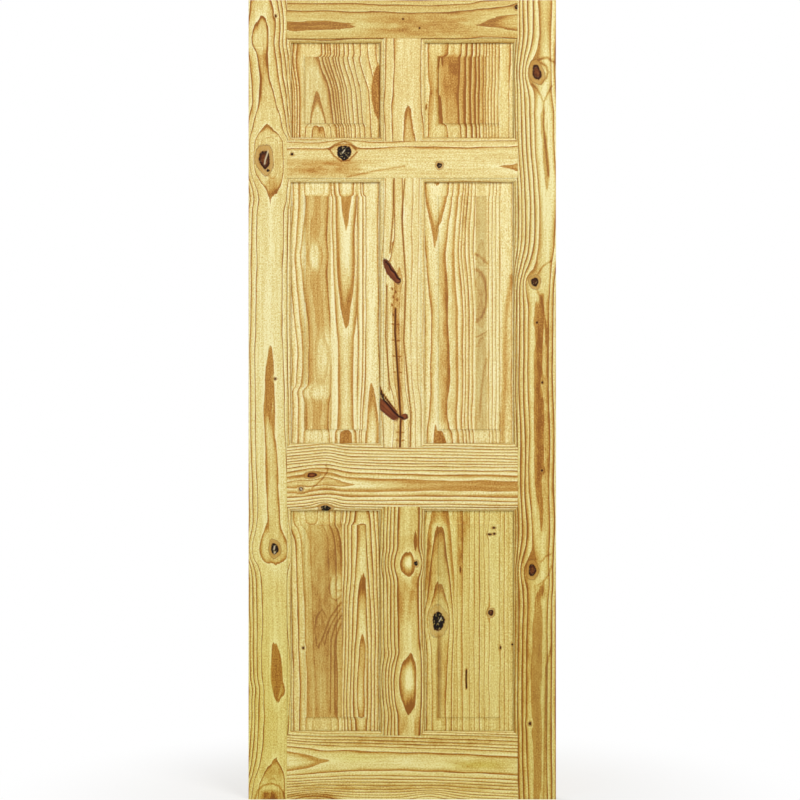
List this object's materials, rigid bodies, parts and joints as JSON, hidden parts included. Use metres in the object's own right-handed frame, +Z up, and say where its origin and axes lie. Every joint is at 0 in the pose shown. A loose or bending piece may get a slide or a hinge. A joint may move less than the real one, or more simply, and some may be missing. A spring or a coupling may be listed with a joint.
{
  "type": "six-panel door",
  "caption": "Framed pine door leaf with stiles, rails and mullions round raised and coved panels, hung on hinges at one long edge to close a doorway.",
  "frame": {"origin": "foot of the hinge edge, in the middle of the leaf's thickness", "axes": "+X across the leaf from the hinge edge to the lock edge, +Y through it from front to back, +Z up from the foot"},
  "size_m": [0.762, 0.035, 1.981],
  "materials": {
    "stile_pine": "sanded, uncoated",
    "rail_pine": "sanded, uncoated",
    "mullion_pine": "sanded, uncoated",
    "panel_pine": "sanded, uncoated"
  },
  "bodies": {
    "root": {"hinge_stile": "stile_pine", "lock_stile": "stile_pine", "top_rail": "rail_pine", "frieze_rail": "rail_pine", "lock_rail": "rail_pine", "bottom_rail": "rail_pine", "upper_mullion": "mullion_pine", "middle_mullion": "mullion_pine", "lower_mullion": "mullion_pine", "upper_left_panel": "panel_pine", "upper_right_panel": "panel_pine", "middle_left_panel": "panel_pine", "middle_right_panel": "panel_pine", "lower_left_panel": "panel_pine", "lower_right_panel": "panel_pine"}
  },
  "joints": []
}
